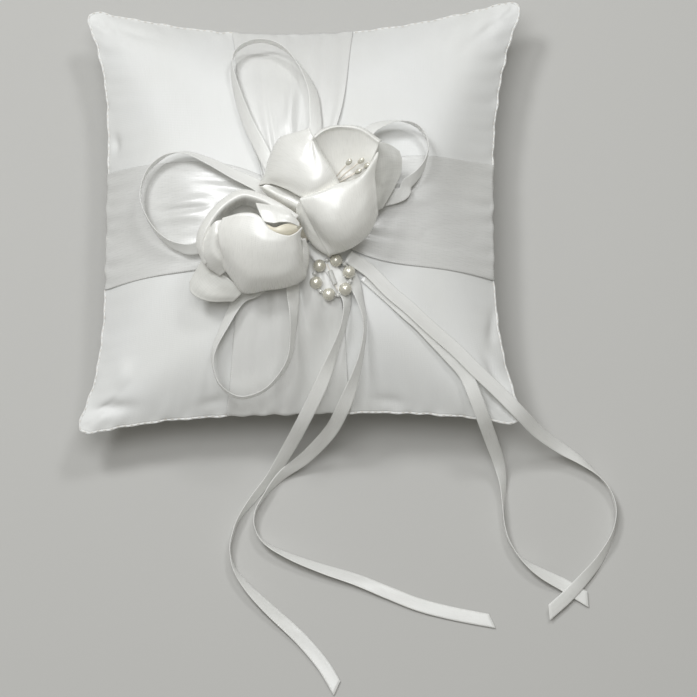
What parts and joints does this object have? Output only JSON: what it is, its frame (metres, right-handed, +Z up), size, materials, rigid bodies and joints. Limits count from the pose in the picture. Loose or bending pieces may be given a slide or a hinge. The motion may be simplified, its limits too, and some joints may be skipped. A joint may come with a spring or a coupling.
{
  "type": "ring bearer pillow",
  "caption": "Small square satin ring pillow with gathered sashes, narrow ribbon bow with long tails, satin flowers and a pearl bead ring.",
  "frame": {"origin": "middle of the pillow's footprint, on the surface that it lies on", "axes": "+Z up out of the decorated front, +Y towards the pillow's upper edge, +X to the right as seen from the front"},
  "size_m": [0.2528, 0.3273, 0.0977],
  "materials": {
    "cover_satin": "satin",
    "sash_satin": "satin",
    "ribbon_satin": "satin",
    "petal_satin": "satin",
    "centre_satin": "satin",
    "sheer_fabric": "matte",
    "fibre_fill": "matte",
    "felt": "matte",
    "sewing_thread": "matte",
    "pearl_coat": "gloss",
    "clear_glass": "gloss",
    "bead_cord": "satin"
  },
  "bodies": {
    "pillow": {"cover_front": "cover_satin", "cover_back": "cover_satin", "sash_across": "sash_satin", "sash_down": "sash_satin", "loop_upper": "ribbon_satin", "loop_left": "ribbon_satin", "loop_lower": "ribbon_satin", "loop_right": "ribbon_satin", "tail_long": "ribbon_satin", "tail_short": "ribbon_satin", "tail_outer": "ribbon_satin", "tail_inner": "ribbon_satin", "bud_petal_back": "petal_satin", "bud_petal_left": "petal_satin", "bud_petal_front": "petal_satin", "bud_petal_right": "petal_satin", "bud_petal_inner": "petal_satin", "open_petal_left": "petal_satin", "open_petal_lobe": "petal_satin", "open_petal_front": "petal_satin", "open_petal_back": "petal_satin", "open_petal_under": "petal_satin", "bud_core": "centre_satin", "open_core": "centre_satin", "sheer_petal_left": "sheer_fabric", "sheer_petal_right": "sheer_fabric", "fibre_filling": "fibre_fill", "felt_disc": "felt", "thread_binding": "sewing_thread", "ring_hanging_thread": "sewing_thread", "stamen_stem_1": "sewing_thread", "stamen_stem_2": "sewing_thread", "stamen_stem_3": "sewing_thread", "stamen_stem_4": "sewing_thread", "stamen_pearl_1": "pearl_coat", "stamen_pearl_2": "pearl_coat", "stamen_pearl_3": "pearl_coat", "stamen_pearl_4": "pearl_coat"},
    "bead_ring": {"bead_wire": "bead_cord", "rod_bead_thread": "sewing_thread", "rod_bead": "clear_glass", "seed_bead_1": "clear_glass", "seed_bead_2": "clear_glass", "seed_bead_3": "clear_glass", "seed_bead_4": "clear_glass", "seed_bead_5": "clear_glass", "seed_bead_6": "clear_glass"},
    "pearl_1": {"pearl_1": "pearl_coat"},
    "pearl_2": {"pearl_2": "pearl_coat"},
    "pearl_3": {"pearl_3": "pearl_coat"},
    "pearl_4": {"pearl_4": "pearl_coat"},
    "pearl_5": {"pearl_5": "pearl_coat"},
    "pearl_6": {"pearl_6": "pearl_coat"}
  },
  "joints": [
    {"name": "ring_lift", "type": "hinge", "parent": "pillow", "child": "bead_ring", "pos_m": [0.01333, -0.03136, 0.06752], "axis": [-1, 0, 0], "range_deg": [0, 60]},
    {"name": "pearl_1_spin", "type": "hinge", "parent": "bead_ring", "child": "pearl_1", "pos_m": [0.02221, -0.03726, 0.06659], "axis": [-0.309, 0.9393, 0.1488], "continuous": true},
    {"name": "pearl_2_spin", "type": "hinge", "parent": "bead_ring", "child": "pearl_2", "pos_m": [0.01626, -0.03197, 0.06742], "axis": [-0.9781, 0.2054, 0.0325], "continuous": true},
    {"name": "pearl_3_spin", "type": "hinge", "parent": "bead_ring", "child": "pearl_3", "pos_m": [0.00865, -0.03441, 0.06704], "axis": [-0.6691, -0.734, -0.1163], "continuous": true},
    {"name": "pearl_4_spin", "type": "hinge", "parent": "bead_ring", "child": "pearl_4", "pos_m": [0.00699, -0.04214, 0.06581], "axis": [0.309, -0.9393, -0.1488], "continuous": true},
    {"name": "pearl_5_spin", "type": "hinge", "parent": "bead_ring", "child": "pearl_5", "pos_m": [0.01294, -0.04743, 0.06498], "axis": [0.9781, -0.2054, -0.0325], "continuous": true},
    {"name": "pearl_6_spin", "type": "hinge", "parent": "bead_ring", "child": "pearl_6", "pos_m": [0.02055, -0.04499, 0.06536], "axis": [0.6691, 0.734, 0.1163], "continuous": true}
  ]
}
